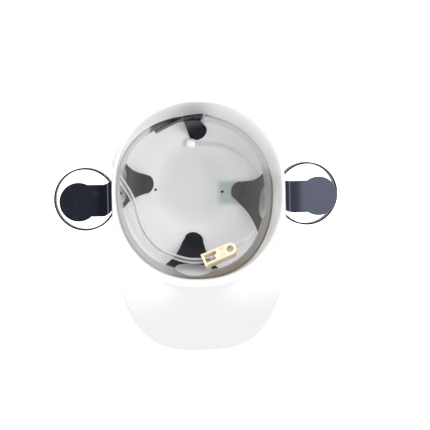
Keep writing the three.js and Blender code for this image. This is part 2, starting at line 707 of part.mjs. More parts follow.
function holderBody(holder) {
  const { side } = holder;
  const turn = new THREE.Matrix4().makeRotationY(side * LEAN);
  const place = (geometry, x, z) => geometry.applyMatrix4(turn).translate(side * x, HOLDER_Y, z);
  const lathe = (profile, sides) => {
    const points = profile.map(([x, y]) => new THREE.Vector2(x, y));
    return new THREE.LatheGeometry(points, sides).rotateX(PI / 2);
  };
  const bore = CAN_RING_BORE / 2;
  const high = CAN_RING_HEIGHT / 2;
  const ringProfile = [
    [bore, -high],
    [RING_RADIUS, -high],
    [RING_RADIUS, high],
    [bore, high],
    [bore, -high],
  ];
  const discRadius = CAN_DISC_DIAMETER / 2;
  const discProfile = [
    [0, -CAN_DISC_THICKNESS],
    [discRadius, -CAN_DISC_THICKNESS],
    [discRadius, -CAN_DISC_CHAMFER],
    [discRadius - CAN_DISC_CHAMFER, 0],
    [0, 0],
  ];
  const ring = place(lathe(ringProfile, RING_SIDES), RING_X, CAN_RING_LEVEL);
  const disc = place(lathe(discProfile, DISC_SIDES), DISC_X, CAN_DISC_LEVEL);
  const strap = sheetBody(strapRows(holder), STRAP_THICKNESS);
  const pegs = pegEnds(holder).map(({ outside, inside }) => bar(outside, inside, PEG_DIAMETER / 2, 10));
  return toGeometry(joined([strap, ring, disc, ...pegs]));
}

// Holes of the shell: the pegs of the holders and the tube

function shellHoles() {
  const holes = [];
  for (const holder of [LEFT_HOLDER, RIGHT_HOLDER]) {
    for (const { beyond, inside } of pegEnds(holder)) {
      holes.push(bar(beyond, inside, PEG_DIAMETER / 2 + GAP, 10));
    }
  }
  const [before, through, after] = TUBE_ROUTE.slice(3, 6).map(([x, y, z]) => v3(x, y, z));
  const radius = TUBE_DIAMETER / 2 + 1;
  const overrun = 3;
  const ahead = through.clone().sub(before).setLength(overrun);
  const behind = through.clone().sub(after).setLength(overrun);
  holes.push(bar(before, through.clone().add(ahead), radius, 14));
  holes.push(bar(through.clone().add(behind), after, radius, 14));
  return holes;
}

// The assembly

const group = new THREE.Group();

function piece(name, geometry, look) {
  const mesh = new THREE.Mesh(geometry, new THREE.MeshStandardMaterial(look));
  mesh.name = name;
  group.add(mesh);
}

piece('shell', toGeometry(without(toSolid(shellBody()), shellHoles())), { color: 0xf0f1f4, roughness: 0.25 });
piece('headband', headbandBody(), { color: 0x26272c, roughness: 0.3 });
piece('can_holder_left', holderBody(LEFT_HOLDER), { color: 0x232634, roughness: 0.35 });
piece('can_holder_right', holderBody(RIGHT_HOLDER), { color: 0x232634, roughness: 0.35 });
piece('drinking_tube', tubeBody(), { color: 0xdfe3e6, roughness: 0.1 });
piece('mouthpiece', mouthpieceBody(), { color: 0xf7f7f5, roughness: 0.3 });
piece('tube_clamp', clampBody(), { color: 0xf3d3a3, roughness: 0.45 });

export default group;
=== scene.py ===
# %% [markdown]
# # A drinking hat, lying on its crown
# A white hard hat shell holds a black headband, a navy can holder on each side and a clear
# hose with a clamp and a mouthpiece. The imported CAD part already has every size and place.
# This lesson models each piece again with finer curves and gives it the finish of its
# plastic. The CAD frame is loaded first, because each new piece has to lie where its solid
# lies.

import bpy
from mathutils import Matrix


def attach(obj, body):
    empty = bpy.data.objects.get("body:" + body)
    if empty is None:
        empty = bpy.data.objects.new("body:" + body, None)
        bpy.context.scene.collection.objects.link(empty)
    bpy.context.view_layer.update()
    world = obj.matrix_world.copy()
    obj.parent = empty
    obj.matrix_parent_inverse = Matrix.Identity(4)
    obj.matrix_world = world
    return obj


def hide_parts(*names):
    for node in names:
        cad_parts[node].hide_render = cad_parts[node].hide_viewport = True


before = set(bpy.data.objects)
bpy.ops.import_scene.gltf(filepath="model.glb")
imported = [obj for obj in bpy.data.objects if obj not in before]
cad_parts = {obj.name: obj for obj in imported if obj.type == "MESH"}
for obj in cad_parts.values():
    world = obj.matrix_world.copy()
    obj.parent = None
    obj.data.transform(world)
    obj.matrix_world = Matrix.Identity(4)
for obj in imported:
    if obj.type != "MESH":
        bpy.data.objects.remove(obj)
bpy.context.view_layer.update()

# %% Modules, units and objects
from math import asin, atan2, cos, hypot, pi, radians, sin, sqrt, tan

import bmesh
import bpy
from mathutils import Matrix, Vector

MM = 0.001


def added(name, data):
    """A new object in the scene."""
    thing = bpy.data.objects.new(name, data)
    bpy.context.collection.objects.link(thing)
    return thing


# %% [markdown]
# ## The camera
# The picture is taken from almost straight above, so the hat's hollow faces the viewer. The
# camera stands far away, a little to the left of the hat and behind it, with a long lens.

# %% Place the camera
CAMERA_LEFT = radians(3.2)
CAMERA_REAR = radians(3.5)
CAMERA_TURN = radians(1.35)
CAMERA_DISTANCE = 10.0
PICTURE_WIDTH = 0.4816
LOOKED_AT = Vector((0.0178, -0.0273, 0.118))

backwards = Vector((-tan(CAMERA_LEFT), tan(CAMERA_REAR), 1)).normalized()
rightwards = Vector((sin(CAMERA_TURN), cos(CAMERA_TURN), 0)).cross(backwards).normalized()
upwards = backwards.cross(rightwards)
camera = added("camera", bpy.data.cameras.new("camera"))
turned = Matrix((rightwards, upwards, backwards)).transposed().to_4x4()
camera.matrix_world = Matrix.Translation(LOOKED_AT + backwards * CAMERA_DISTANCE) @ turned
camera.data.lens = camera.data.sensor_width * CAMERA_DISTANCE / PICTURE_WIDTH
camera.data.clip_end = 10 * CAMERA_DISTANCE
bpy.context.scene.camera = camera
print("lens in mm:", round(camera.data.lens, 1))

# %% [markdown]
# ## Finishing a mesh
# All shapes are drawn in millimetres and brought to metres at the end, so each object sits
# at the origin and its place is in its mesh. Faces that meet at a wide angle keep a crisp
# edge between them, and the others are shaded as one smooth surface.

# %% Helpers that every piece uses
CRISP = radians(35)


def is_sharp(edge, angle):
    return edge.is_manifold and edge.calc_face_angle() > angle


def hat_object(form, name):
    """Makes an object in metres from a bmesh in millimetres."""
    bmesh.ops.scale(form, vec=(MM, MM, MM), verts=form.verts)
    form.normal_update()
    for face in form.faces:
        face.smooth = True
    for edge in form.edges:
        edge.smooth = not is_sharp(edge, CRISP)
    mesh = bpy.data.meshes.new(name)
    form.to_mesh(mesh)
    form.free()
    return added(name, mesh)


def tidy(form, apart=0.001):
    """Merges doubles and turns the faces outwards."""
    bmesh.ops.remove_doubles(form, verts=form.verts, dist=apart)
    bmesh.ops.recalc_face_normals(form, faces=form.faces)
    return form


def round_edges(form, width, segments=2, sharper_than=radians(50)):
    """Bevels the edges that are sharper than an angle, unless the width is 0."""
    if width:
        form.normal_update()
        bmesh.ops.bevel(
            form, geom=[edge for edge in form.edges if is_sharp(edge, sharper_than)],
            offset=width, offset_type="OFFSET", segments=segments, profile=0.5,
            affect="EDGES", material=-1, clamp_overlap=True,
        )
    return form


# %% A moulded sheet, laid along a surface
def moulded_sheet(columns, rows, place, thickness, edge=0.3):
    """place takes two shares from 0 to 1 and gives a point of the sheet's middle."""
    form = bmesh.new()
    bmesh.ops.create_grid(form, x_segments=columns, y_segments=rows, size=0.5)
    for corner in form.verts:
        corner.co = place(corner.co.x + 0.5, corner.co.y + 0.5)
    tidy(form)
    form.normal_update()
    for corner, shift in [(v, v.normal * (thickness / 2)) for v in form.verts]:
        corner.co += shift
    bmesh.ops.solidify(form, geom=form.faces[:], thickness=thickness)
    return round_edges(form, edge)


# %% Joining and cutting solids
JOIN, CUT = "UNION", "DIFFERENCE"
MERGE_METRES = 2e-6
SLIVER_METRES = 1e-6


def carved(base, tools, name):
    """Joins or cuts a bmesh with others: tools is a list of (operation, bmesh)."""
    thing = hat_object(base, name)
    helpers = []
    for number, (operation, form) in enumerate(tools):
        helper = hat_object(form, name + "_tool" + str(number))
        helpers.append(helper)
        cut = thing.modifiers.new("cut", "BOOLEAN")
        cut.operation = operation
        cut.solver = "EXACT"
        cut.object = helper
    done = bmesh.new()
    done.from_object(thing, bpy.context.evaluated_depsgraph_get())
    for extra in [*helpers, thing]:
        bpy.data.meshes.remove(extra.data)
    bmesh.ops.remove_doubles(done, verts=done.verts, dist=MERGE_METRES)
    bmesh.ops.dissolve_degenerate(done, edges=done.edges, dist=SLIVER_METRES)
    bmesh.ops.scale(done, vec=(1 / MM, 1 / MM, 1 / MM), verts=done.verts)
    print(name, "faces:", len(done.faces))
    return hat_object(done, name)


# %% Simple solids
def raised(form, faces, height):
    """Makes a prism of flat faces."""
    far = bmesh.ops.extrude_face_region(form, geom=faces)["geom"]
    far = [part for part in far if isinstance(part, bmesh.types.BMVert)]
    bmesh.ops.translate(form, vec=(0, 0, height), verts=far)


def round_bar(start, end, radius, sides=32):
    """A solid bar between two points."""
    form = bmesh.new()
    along = end - start
    turn = along.to_track_quat("Z", "Y").to_matrix().to_4x4()
    place = Matrix.Translation((start + end) / 2) @ turn
    bmesh.ops.create_cone(
        form, cap_ends=True, segments=sides, radius1=radius, radius2=radius,
        depth=along.length, matrix=place,
    )
    return form


def spun(profile, steps=64):
    """A closed solid turned around the upright axis from a profile of (radius, height)."""
    form = bmesh.new()
    chain = [form.verts.new((radius, 0, height)) for radius, height in profile]
    links = [form.edges.new(pair) for pair in zip(chain, chain[1:])]
    bmesh.ops.spin(
        form, geom=chain + links, cent=(0, 0, 0), axis=(0, 0, 1), angle=2 * pi,
        steps=steps, use_merge=True,
    )
    return tidy(form)


def box(size, middle, edge=0):
    """A block with rounded edges, or with sharp ones."""
    form = bmesh.new()
    bmesh.ops.create_cube(form, size=1)
    bmesh.ops.scale(form, vec=size, verts=form.verts)
    bmesh.ops.translate(form, vec=middle, verts=form.verts)
    return round_edges(form, edge, 3)


def moved(form, matrix):
    bmesh.ops.transform(form, matrix=matrix, verts=form.verts)
    return form


# %% Shares and steps
def between(a, b, share):
    """The value at a share of the way from one value to another."""
    return a + (b - a) * share


def eased(value, low, high):
    """0 below one value, 1 above another, and a soft step between them."""
    share = min(max((value - low) / (high - low), 0), 1)
    return share * share * (3 - 2 * share)


# %% [markdown]
# ## The drinking hose
# One clear hose, 7 mm thick, starts with a bare end outside the shell behind the left
# holder, passes the wall, and goes round the inside of the hat to the mouthpiece. It is the
# only cord. Its route repeats the points of the CAD solid. A rounded line goes through
# them, and a ring of edges is extruded along that line.

# %% The hose's route
HOSE_DIAMETER = 7
HOSE_WALL = 1.4
HOSE_ROUTE = [
    (-75.6, 65.4, 70), (-84.6, 52.8, 71), (-90, 41.8, 72), (-92.4, 31.6, 73.5), (-89, 21, 75.5),
    (-83, 9.5, 77), (-76, -2, 76), (-70.8, -14, 71.5), (-65.2, -36, 66), (-56, -54, 67.5),
    (-44, -66.8, 73), (-27.5, -75, 82), (-9, -79.8, 89), (7.5, -79.2, 92.5), (24, -74.6, 93),
    (39.5, -67.4, 92.5), (53, -58.8, 87.8), (64.5, -48, 73.5), (72.4, -33.5, 64),
    (76.4, -17, 60), (74.8, 0, 54.5), (69.9, 15.5, 46.4), (62.1, 26.5, 39.8),
    (52.5, 36, 35.2), (40.5, 43, 30.4), (27, 46.9, 26), (13, 47.7, 22.4), (3.2, 48.3, 20.8),
]


def rounded_line(points, steps=6):
    """A smooth line through all the points, rounder where they are close together."""
    points = [Vector(p) for p in points]
    points = [2 * points[0] - points[1], *points, 2 * points[-1] - points[-2]]
    line = []
    for a, b, c, d in zip(points, points[1:], points[2:], points[3:]):
        before, span, after = (sqrt((q - p).length) for p, q in ((a, b), (b, c), (c, d)))
        leave = (b - a) / before - (c - a) / (before + span) + (c - b) / span
        arrive = (c - b) / span - (d - b) / (span + after) + (d - c) / after
        leave, arrive = leave * span, arrive * span
        for step in range(steps):
            t = step / steps
            line.append(
                b + leave * t + (3 * (c - b) - 2 * leave - arrive) * t**2
                + (2 * (b - c) + leave + arrive) * t**3
            )
    return [*line, points[-2]]


hose_line = rounded_line(HOSE_ROUTE)
hose_length = sum((b - a).length for a, b in zip(hose_line, hose_line[1:]))
print("hose length in mm:", round(hose_length, 1))


# %% Extrude the hose along its route
def directions(line, before=None):
    """The line's heading at each of its points."""
    ahead = [*line[1:], 2 * line[-1] - line[-2]]
    behind = [before or 2 * line[0] - line[1], *line[:-1]]
    return [(b - a).normalized() for a, b in zip(behind, ahead)]


def hose_form(line, radius, wall, sides=28):
    form = bmesh.new()
    headings = directions(line)
    turn = headings[0].to_track_quat("Z", "Y").to_matrix().to_4x4()
    ring = bmesh.ops.create_circle(form, radius=radius, segments=sides)["verts"]
    bmesh.ops.transform(form, matrix=Matrix.Translation(line[0]) @ turn, verts=ring)
    edges = form.edges[:]
    for k in range(1, len(line)):
        step = bmesh.ops.extrude_edge_only(form, edges=edges)["geom"]
        ring = [part for part in step if isinstance(part, bmesh.types.BMVert)]
        edges = [part for part in step if isinstance(part, bmesh.types.BMEdge)]
        bend = headings[k - 1].rotation_difference(headings[k]).to_matrix().to_4x4()
        move = Matrix.Translation(line[k]) @ bend @ Matrix.Translation(-line[k - 1])
        bmesh.ops.transform(form, matrix=move, verts=ring)
    tidy(form)
    face = form.faces[0]
    faces_in = face.normal.dot(face.calc_center_median() - line[0]) < 0
    if faces_in:
        bmesh.ops.reverse_faces(form, faces=form.faces)
    bmesh.ops.solidify(form, geom=form.faces[:], thickness=wall)
    return form


hose = hat_object(hose_form(hose_line, HOSE_DIAMETER / 2, HOSE_WALL), "clear_hose")
print("hose faces:", len(hose.data.polygons))

# %% [markdown]
# ## The shell
# The shell is one white moulding: a crown, a short steep wall, a lip, and at the front the
# lip runs out into a broad peak. It could be a sphere that is cut and pulled about, but a
# section of the wall tells more. A chain of points is spun around the middle, and each point
# is then brought to its place: the chain runs out along the outer skin, round the edge and
# back along the inner skin.

# %% The crown's size at each height
DOME_TOP = 100
DOME_HALF_WIDTH = 94.4
DOME_HALF_LENGTH = 100.2
FLAT_HALF_WIDTH = 17
FLAT_HALF_LENGTH = 25
SHELL_SQUARENESS = 2.2
WALL_TOP = 109
WALL_SLOPE = 0.1
DEPTH_ACROSS = DOME_TOP / sqrt(1 - (FLAT_HALF_WIDTH / DOME_HALF_WIDTH) ** 2)
DEPTH_ALONG = DOME_TOP / sqrt(1 - (FLAT_HALF_LENGTH / DOME_HALF_LENGTH) ** 2)


def crown_oval(height):
    """Half the crown's width and half its length at a height."""
    drop = DOME_TOP - min(height, DOME_TOP)
    spread = max(height - DOME_TOP, 0) * WALL_SLOPE
    return (
        DOME_HALF_WIDTH * sqrt(1 - (drop / DEPTH_ACROSS) ** 2) + spread,
        DOME_HALF_LENGTH * sqrt(1 - (drop / DEPTH_ALONG) ** 2) + spread,
    )


def oval_radius(oval, angle, squareness=SHELL_SQUARENESS):
    """How far an oval reaches: an ellipse at a squareness of 2, and squarer above that."""
    across, along = abs(cos(angle)) / oval[0], abs(sin(angle)) / oval[1]
    return (across**squareness + along**squareness) ** (-1 / squareness)


def oval_share(x, y, height):
    """1 for a point on the crown's oval at a height, and less inside it."""
    a, b = crown_oval(height)
    return (abs(x) / a) ** SHELL_SQUARENESS + (abs(y) / b) ** SHELL_SQUARENESS


# %% A section through the crown's two skins
SHELL_WALL = 2
FLAT_ROWS, CROWN_ROWS = 4, 26
INNER_FLAT = 0.97


def crown_normal(point):
    """The outward direction of the crown's outer skin at a point."""
    step = 0.01
    a, b = crown_oval(point.z)
    a_below, b_below = crown_oval(point.z - step)
    across = (abs(point.x) / a) ** SHELL_SQUARENESS
    along = (abs(point.y) / b) ** SHELL_SQUARENESS
    rise = across * (a - a_below) / step / a + along * (b - b_below) / step / b
    flat = Vector((across / (point.x or 1), along / (point.y or 1)))
    return Vector((*flat, -rise)).normalized()


def crown_skins(angle):
    """The crown's outer and inner points in a direction, from the middle to the wall."""
    heading = Vector((cos(angle), sin(angle), 0))
    flat = oval_radius((FLAT_HALF_WIDTH, FLAT_HALF_LENGTH), angle)
    outer = [heading * (flat * k / FLAT_ROWS) for k in range(FLAT_ROWS + 1)]
    inner = [p * INNER_FLAT + Vector((0, 0, SHELL_WALL)) for p in outer]
    first = asin(FLAT_HALF_WIDTH / DOME_HALF_WIDTH)
    for k in range(1, CROWN_ROWS + 1):
        height = DOME_TOP - DEPTH_ACROSS * cos(between(first, pi / 2, k / CROWN_ROWS))
        point = heading * oval_radius(crown_oval(height), angle) + Vector((0, 0, height))
        outer.append(point)
        inner.append(point - crown_normal(point) * SHELL_WALL)
    return outer, inner


# %% The wall, the lip and the peak
LIP_HEIGHT = 116
LIP_OVAL = (97.5, 103.5)
PEAK_REACH = 177.5
PEAK_SQUARENESS = 3
PEAK_RISE, PEAK_ARCH = 0.12, 8
TIP_LIFT, TIP_BLEND = 0.6, 20
FILLET_REACH, FILLET_SHARE = 8, 0.55
FILLET_PULL = Vector((0.3, -0.5))
RIM_ROWS = 10


def lip_and_tip(angle):
    """How far out the lip and the moulding's edge lie in a direction."""
    lip = oval_radius(LIP_OVAL, angle)
    if sin(angle) >= 0:
        return lip, lip
    return lip, max(lip, oval_radius((LIP_OVAL[0], PEAK_REACH), angle, PEAK_SQUARENESS))


def rim_line(angle):
    """The outer skin's line (radius, height) over the wall and the lip to the edge."""
    foot = Vector((oval_radius(crown_oval(WALL_TOP), angle), WALL_TOP))
    lip, edge = lip_and_tip(angle)
    reach = min(FILLET_REACH, FILLET_SHARE * (edge - foot.x))
    fillet = Vector((foot.x + reach, LIP_HEIGHT))
    pull = Vector((foot.x, LIP_HEIGHT)) + FILLET_PULL
    blend = min((edge - lip) / TIP_BLEND, 1)
    arch = PEAK_ARCH * (edge * cos(angle) / LIP_OVAL[0]) ** 2 * blend
    tip = Vector((edge, LIP_HEIGHT + TIP_LIFT + (edge - lip) * PEAK_RISE + arch))
    shares = [k / RIM_ROWS for k in range(RIM_ROWS + 1)]
    curve = [foot * (1 - t) ** 2 + pull * (2 * t * (1 - t)) + fillet * t**2 for t in shares]
    return [*curve, *(fillet.lerp(tip, t) for t in shares[1:])]


# %% The whole section, from middle to middle
EDGE_BULGE = 0.7
EDGE_ROWS = 6


def shell_section(angle):
    """The section's points: along the outside, round the edge and back along the inside."""
    outer, inner = crown_skins(angle)
    line = rim_line(angle)
    heading = Vector((cos(angle), sin(angle), 0))
    upright = Vector((0, 0, 1))
    for point, along in zip(line, directions(line, line[0] - Vector((WALL_SLOPE, 1)))):
        across = Vector((-along.y, along.x)) * SHELL_WALL
        outer.append(heading * point.x + upright * point.y)
        inner.append(heading * (point.x + across.x) + upright * (point.y + across.y))
    middle = (outer[-1] + inner[-1]) / 2
    out = (heading * along.x + upright * along.y) * EDGE_BULGE
    edge = []
    for k in range(1, EDGE_ROWS):
        turn = pi * k / EDGE_ROWS
        edge.append(middle + (outer[-1] - middle) * cos(turn) + out * sin(turn))
    return [*outer, *edge, *reversed(inner)]


# %% Spin a chain and bring it to the section
SHELL_STEPS = 192
CREASE_ROUNDS = 6


def shell_form():
    rows = len(shell_section(0))
    form = spun([(k + 1, 0) for k in range(rows)], SHELL_STEPS)
    crease = []
    sections = {}
    for corner in form.verts:
        row = round(hypot(corner.co.x, corner.co.y)) - 1
        angle = round(atan2(corner.co.y, corner.co.x), 5)
        if angle not in sections:
            sections[angle] = shell_section(angle)
        corner.co = sections[angle][row]
        from_middle = min(row, rows - 1 - row)
        if FLAT_ROWS - 1 <= from_middle <= FLAT_ROWS + 2:
            crease.append(corner)
    for _ in range(CREASE_ROUNDS):
        bmesh.ops.smooth_vert(
            form, verts=crease, factor=0.5, use_axis_x=True, use_axis_y=True, use_axis_z=True
        )
    return tidy(form)


# %% Where a line meets the crown's outside
HALVINGS = 40


def crown_height(x):
    """The height of the crown's outside above the middle line across the hat."""
    return DOME_TOP - DEPTH_ACROSS * sqrt(1 - (x / DOME_HALF_WIDTH) ** 2)


def crown_hit(side, y, down):
    """The outside's point on a line from the middle of the crown's mouth, turned down."""
    near, far = 0, 2 * DOME_TOP
    for _ in range(HALVINGS):
        reach = (near + far) / 2
        height = DOME_TOP - reach * sin(down)
        inside = height > 0 and oval_share(reach * cos(down), y, height) < 1
        near, far = (reach, far) if inside else (near, reach)
    return Vector((side * near * cos(down), y, DOME_TOP - near * sin(down)))


# %% Holes for the holders' pegs and for the hose
HOLDER_Y = -9
PEG_DIAMETER = 2.4
PEG_DEPTH = 2.9
PEG_SIDES = 24
HOLE_START = 4
GAP = 0.3
HOSE_GAP = 1
HOLE_OVERLAP = 3
STRAP_Y = {-1: -3.4, 1: -8}
ARM_Y = {-1: -7.6, 1: -9}
CROWN_PEG_X = {-1: 43.9, 1: 33.7}
SIDE_PEG_LEVEL = 60


def peg_lines(side):
    """Where the two pegs of a holder leave the wall, and the wall's direction there."""
    x = CROWN_PEG_X[side]
    turns_down = [
        atan2(DOME_TOP - crown_height(x), x),
        atan2(DOME_TOP - SIDE_PEG_LEVEL, crown_oval(SIDE_PEG_LEVEL)[0]),
    ]
    points = [crown_hit(side, STRAP_Y[side], down) for down in turns_down]
    return [(point, crown_normal(point)) for point in points]


holes = []
for side in (-1, 1):
    for point, out in peg_lines(side):
        start, end = point + out * HOLE_START, point - out * PEG_DEPTH
        holes.append(round_bar(start, end, PEG_DIAMETER / 2 + GAP, PEG_SIDES))
enter, through, leave = (Vector(p) for p in HOSE_ROUTE[3:6])
hole_radius = HOSE_DIAMETER / 2 + HOSE_GAP
past_enter = through + (through - enter).normalized() * HOLE_OVERLAP
past_leave = through + (through - leave).normalized() * HOLE_OVERLAP
holes.append(round_bar(enter, past_enter, hole_radius))
holes.append(round_bar(past_leave, leave, hole_radius))
shell = carved(shell_form(), [(CUT, hole) for hole in holes], "hat_shell")

# %% [markdown]
# ## The headband
# The band and its tabs are cut from one sheet of black plastic. Flat, it would be a strip
# with four tongues, and the lens-shaped slots at the roots of three of them let the tongues
# bend inwards. Here the strip and each tab are grids that are laid along the place they
# take in the hat. They are then joined, and the slots and the window are cut out.

# %% The strip's course
BAND_LEFT, BAND_RIGHT, BAND_FRONT, BAND_REAR = 92, 83.3, 98.4, 84.1
BAND_SQUARENESS = [2, 2.25, 2.2, 2.3]
BAND_TOP, BAND_FOOT = 112, 89
BAND_LEAN = 6.4
BAND_THICKNESS = 1.5
STRIP_START, STRIP_END, STRIP_TAPER = 81.5, 443.7, 20
TAIL_START, TAIL_PASSES, TAIL_END = 77.2, 85.3, 125
TAIL_HEIGHT = 14
TAIL_OUTSIDE, TAIL_INSIDE = -2.4, 5


def band_point(angle, height, inward=0):
    """A point of the strip, whose foot lies further in than its top."""
    lean = BAND_LEAN * (BAND_TOP - height) / (BAND_TOP - BAND_FOOT) + inward
    across = BAND_LEFT if cos(angle) < 0 else BAND_RIGHT
    along = BAND_FRONT if sin(angle) < 0 else BAND_REAR
    quarter = int(angle // (pi / 2)) % 4
    radius = oval_radius((across - lean, along - lean), angle, BAND_SQUARENESS[quarter])
    return Vector((radius * cos(angle), radius * sin(angle), height))


def strip_place(along, down):
    degrees = between(STRIP_START, STRIP_END, along)
    outside = TAIL_OUTSIDE * max(0, 1 - (degrees - STRIP_START) / STRIP_TAPER)
    return band_point(radians(degrees), between(BAND_TOP, BAND_FOOT, down), outside)


def tail_place(along, down):
    degrees = between(TAIL_START, TAIL_END, along)
    inward = between(TAIL_OUTSIDE, TAIL_INSIDE, eased(degrees, TAIL_PASSES, TAIL_END))
    middle = (BAND_TOP + BAND_FOOT) / 2
    height = middle + TAIL_HEIGHT * (0.5 - down)
    return band_point(radians(degrees), height, inward)


# %% The four tabs
TAB_THICKNESS = 1.2
TAB_TIP_RADIUS = 10.5
TAB_DROP = 75
TAB_WAIST = 0.17
TAB_OVERLAP = 3
TAB_ROUNDNESS = 0.8
TAB_CLEARANCE = 2.5 * GAP
ROOT_SHARE, TIP_SHARE = 0.04, 0.86
LOWEST, LEAST_LEVEL = 0.1, 0.2
TABS = {
    "right": dict(start=-36.6, end=12.8, slot=(-12.4, 36, 72, 101), tip=(51.3, -6.5)),
    "front": dict(start=-114.8, end=-76, slot=(-93.8, 42, 70, 105), tip=(-1.3, -61)),
    "left": dict(start=158, end=193, slot=(175.7, 38, 70, 101), tip=(-53.8, 3.6)),
    "rear": dict(start=85.8, end=99.7, slot=None, tip=(5.8, 61.3)),
}


def crown_floor(x, y):
    """The height of the crown's inside above a point, and how level it is there."""
    low, high = 0, DOME_TOP
    for _ in range(HALVINGS):
        height = (low + high) / 2
        low, high = (height, high) if oval_share(x, y, height) > 1 else (low, height)
    level = max(-crown_normal(Vector((x, y, max(low, LOWEST)))).z, LEAST_LEVEL)
    return low + SHELL_WALL / level, level


def tab_place(tab, across, down):
    """A point of a tab: down runs over its root, its length and then its round tip."""
    start, end = radians(tab["start"]), radians(tab["end"])
    share = min(max((down - ROOT_SHARE) / (TIP_SHARE - ROOT_SHARE), 0), 1)
    round_part = max(0, (down - TIP_SHARE) / (1 - TIP_SHARE))
    height = BAND_FOOT + TAB_OVERLAP * max(0, 1 - down / ROOT_SHARE)
    tip = Vector(tab["tip"])
    foot = band_point((start + end) / 2, BAND_FOOT).xy
    root = band_point((start + end) / 2, height).xy
    heading = (tip - foot).normalized()
    width = TAB_TIP_RADIUS * between(2 * across - 1, -cos(pi * across), share)
    past = TAB_TIP_RADIUS * TAB_ROUNDNESS * sin(pi * across) * round_part
    end_point = tip + heading * past + Vector((heading.y, -heading.x)) * width
    side_point = band_point(between(start, end, across), height).xy
    waist = TAB_WAIST * sin(pi * share) if tab["slot"] else 0
    spot = side_point.lerp(end_point, share).lerp(root.lerp(tip, share), waist)
    floor, level = crown_floor(*spot)
    clear = (TAB_THICKNESS / 2 + TAB_CLEARANCE) / level
    return Vector((*spot, max(height - TAB_DROP * share, floor + clear)))


# %% Cut the slots and the window, and thread the tail
SLOT_BAR_LENGTH, SLOT_BAR_START, SLOT_SIDES = 50, 35, 56
WINDOW_ANGLE = 97.3
WINDOW_SIZE = (17, 12, 17)
STRIP_GRID, TAB_GRID, TAIL_GRID = (300, 6), (20, 40), (60, 4)


def slot_form(direction, length, low, high):
    """A lens-shaped bar that points outwards through the root of a tab."""
    angle = radians(direction)
    form = bmesh.new()
    bmesh.ops.create_circle(form, cap_ends=True, radius=0.5, segments=SLOT_SIDES)
    bmesh.ops.scale(form, vec=(length, high - low, 1), verts=form.verts)
    raised(form, form.faces[:], SLOT_BAR_LENGTH)
    out = Vector((cos(angle), sin(angle), 0))
    side = Vector((0, 0, 1)).cross(out)
    turn = Matrix((side, Vector((0, 0, 1)), out)).transposed().to_4x4()
    start = band_point(angle, BAND_FOOT) - out * SLOT_BAR_START
    start.z = (low + high) / 2
    return tidy(moved(form, Matrix.Translation(start) @ turn))


def headband_tools():
    """What is joined to the strip and cut from it, in this order."""
    tools = []
    for tab in TABS.values():
        form = moulded_sheet(
            *TAB_GRID, lambda across, down: tab_place(tab, across, down), TAB_THICKNESS
        )
        tools.append((JOIN, form))
    for tab in TABS.values():
        if tab["slot"]:
            tools.append((CUT, slot_form(*tab["slot"])))
    middle = band_point(radians(WINDOW_ANGLE), (BAND_TOP + BAND_FOOT) / 2)
    tools.append((CUT, box(WINDOW_SIZE, middle)))
    tools.append((JOIN, moulded_sheet(*TAIL_GRID, tail_place, TAB_THICKNESS)))
    return tools


strip = moulded_sheet(*STRIP_GRID, strip_place, BAND_THICKNESS)
headband = carved(strip, headband_tools(), "inner_headband")

# %% [markdown]
# ## The can holders
# Each holder is one navy moulding: a strap that follows the outside of the crown, bends over
# the lip and runs out as an arm to a round disc, and a ring around the can below. The strap
# is a grid laid along the shell, the disc and the ring are spun, and all are joined. Both
# holders come from the same steps, with the side turned round.

# %% The sizes of a holder
HOLDER_LEAN = radians(10.5)
OVERALL_WIDTH = 320
RING_BORE, RING_WALL, RING_HEIGHT, RING_LEVEL = 67, 1.75, 12, 60
DISC_DIAMETER, DISC_THICKNESS, DISC_LEVEL = 43.5, 2.5, 117
STRAP_THICKNESS, STRAP_GAP = 2, 0.5
STRAP_END_WIDTH, STRAP_WIDTH, ARM_WIDTH = 32, 34, 35.5
STRAP_END_X = 29
BEND_RADIUS, BEND_RAISED = 6, 0.95
CLIMB_OUT, CLIMB_UP = 0.45, 0.5
RING_X = (
    OVERALL_WIDTH / 2 - (RING_BORE / 2 + RING_WALL) * cos(HOLDER_LEAN)
    - RING_HEIGHT / 2 * sin(HOLDER_LEAN)
)
DISC_X = RING_X + (DISC_LEVEL - RING_LEVEL) * tan(HOLDER_LEAN)
STRAP_LIFT = STRAP_GAP + STRAP_THICKNESS / 2
print("ring and disc at x in mm:", round(RING_X, 1), round(DISC_X, 1))


# %% The arm over the lip
def lip_x(y):
    """How far out the moulding's edge lies at a place along the hat."""
    length, power = (LIP_OVAL[1], SHELL_SQUARENESS) if y > 0 else (PEAK_REACH, PEAK_SQUARENESS)
    return LIP_OVAL[0] * (1 - abs(y / length) ** power) ** (1 / power)


